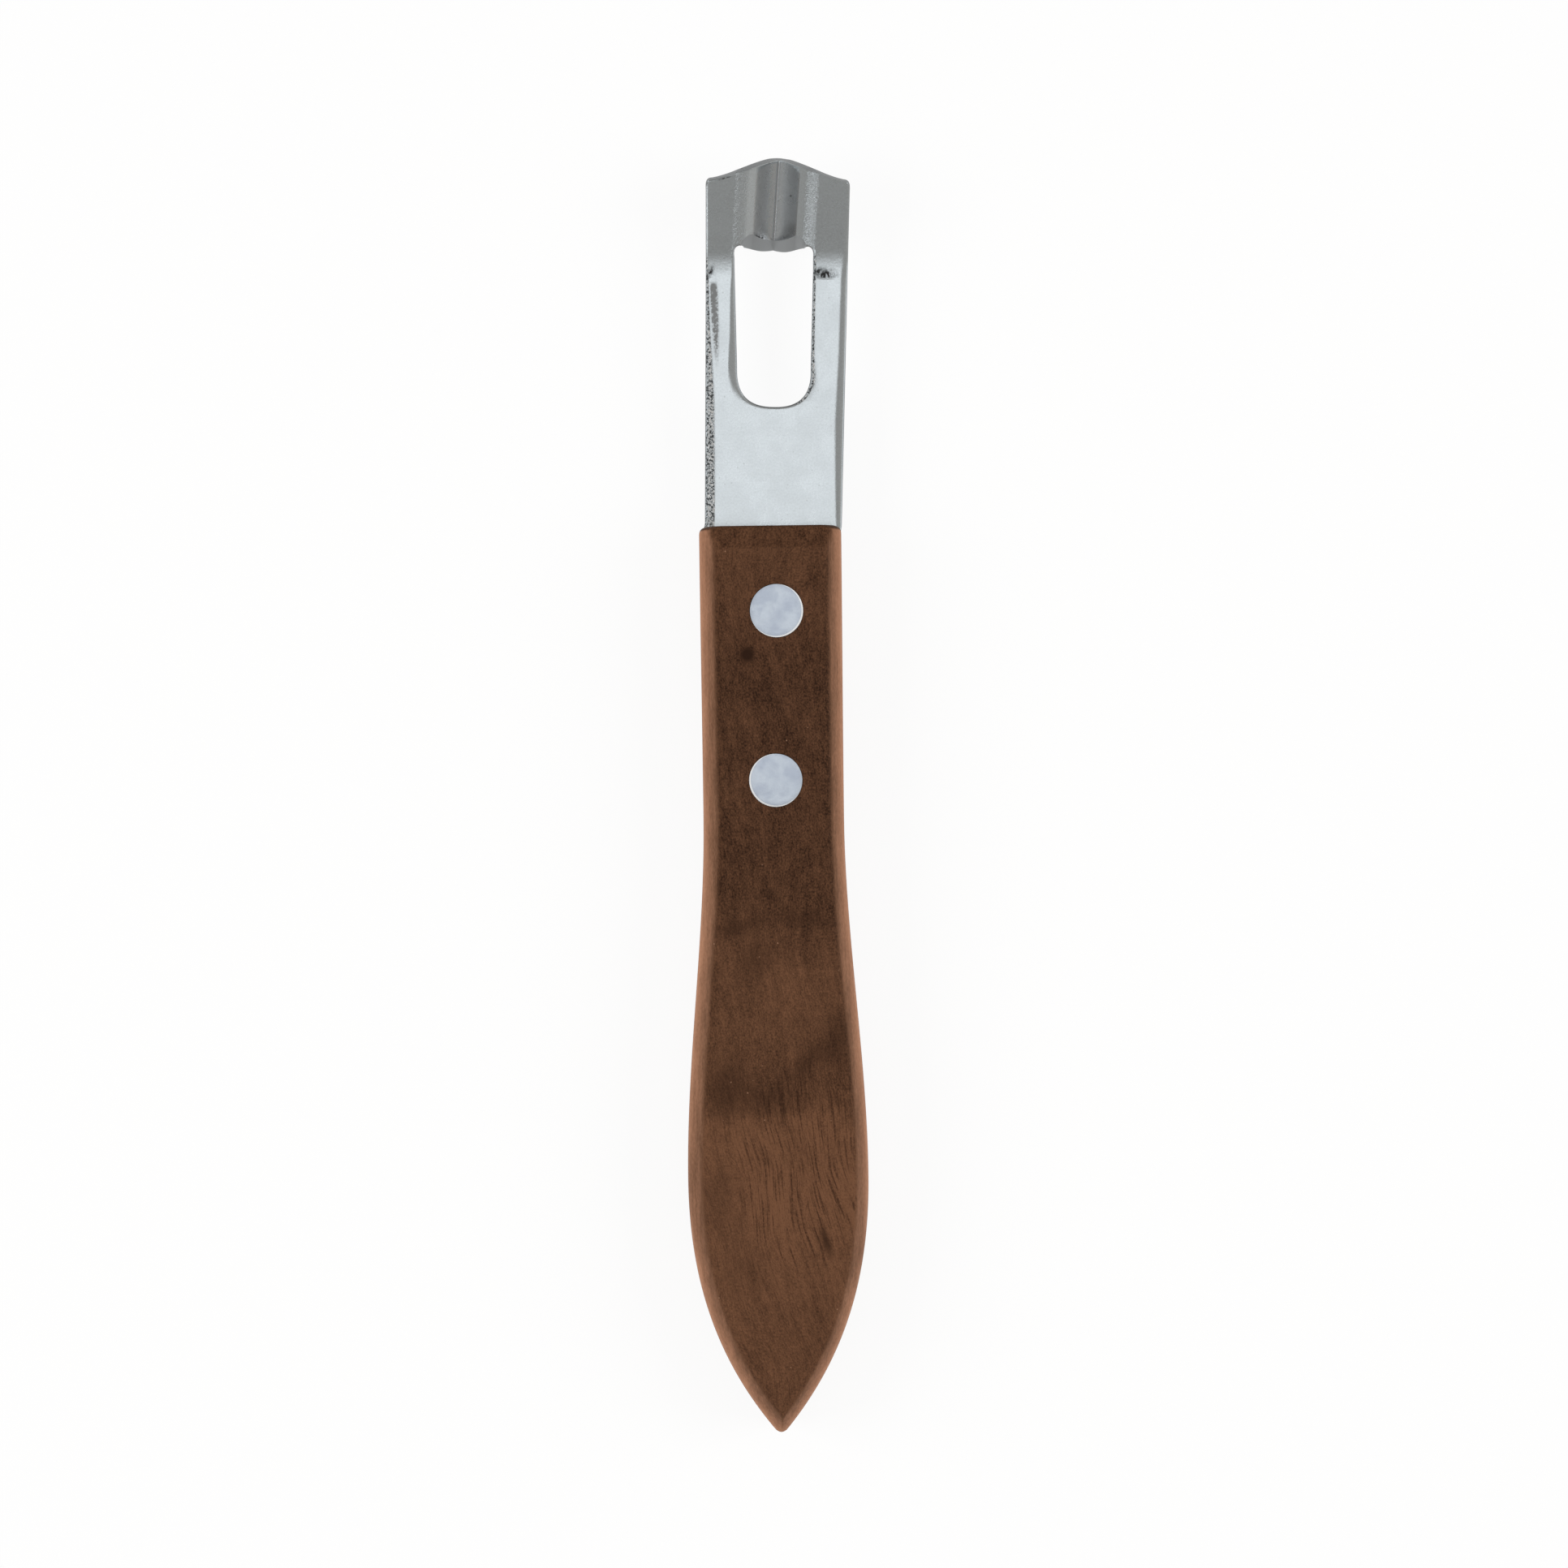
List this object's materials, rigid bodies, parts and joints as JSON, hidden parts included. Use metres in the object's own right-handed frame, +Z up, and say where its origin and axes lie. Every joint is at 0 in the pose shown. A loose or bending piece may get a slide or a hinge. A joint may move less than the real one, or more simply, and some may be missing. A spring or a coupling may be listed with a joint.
{
  "type": "channel knife",
  "caption": "Channel knife for cutting strips of citrus peel: a pressed steel blade with a peel window and a V-shaped cutting channel, riveted into a pointed, chamfered walnut handle.",
  "frame": {"origin": "under the middle of the knife, on the surface that the back of its handle lies on", "axes": "+Y along the knife towards the cutting head, +X to the right of the handle seen from its front face, +Z up out of the front face"},
  "size_m": [0.0222, 0.157, 0.012],
  "materials": {
    "stainless": "fine satin, tumbled",
    "walnut": "oiled, open pored, lighter along the sanded chamfers",
    "rivet_metal": "flat satin, sanded flush"
  },
  "bodies": {
    "root": {"blade": "stainless", "handle": "walnut", "front_rivet_stud": "rivet_metal", "front_rivet_sleeve": "rivet_metal", "rear_rivet_stud": "rivet_metal", "rear_rivet_sleeve": "rivet_metal"}
  },
  "joints": []
}
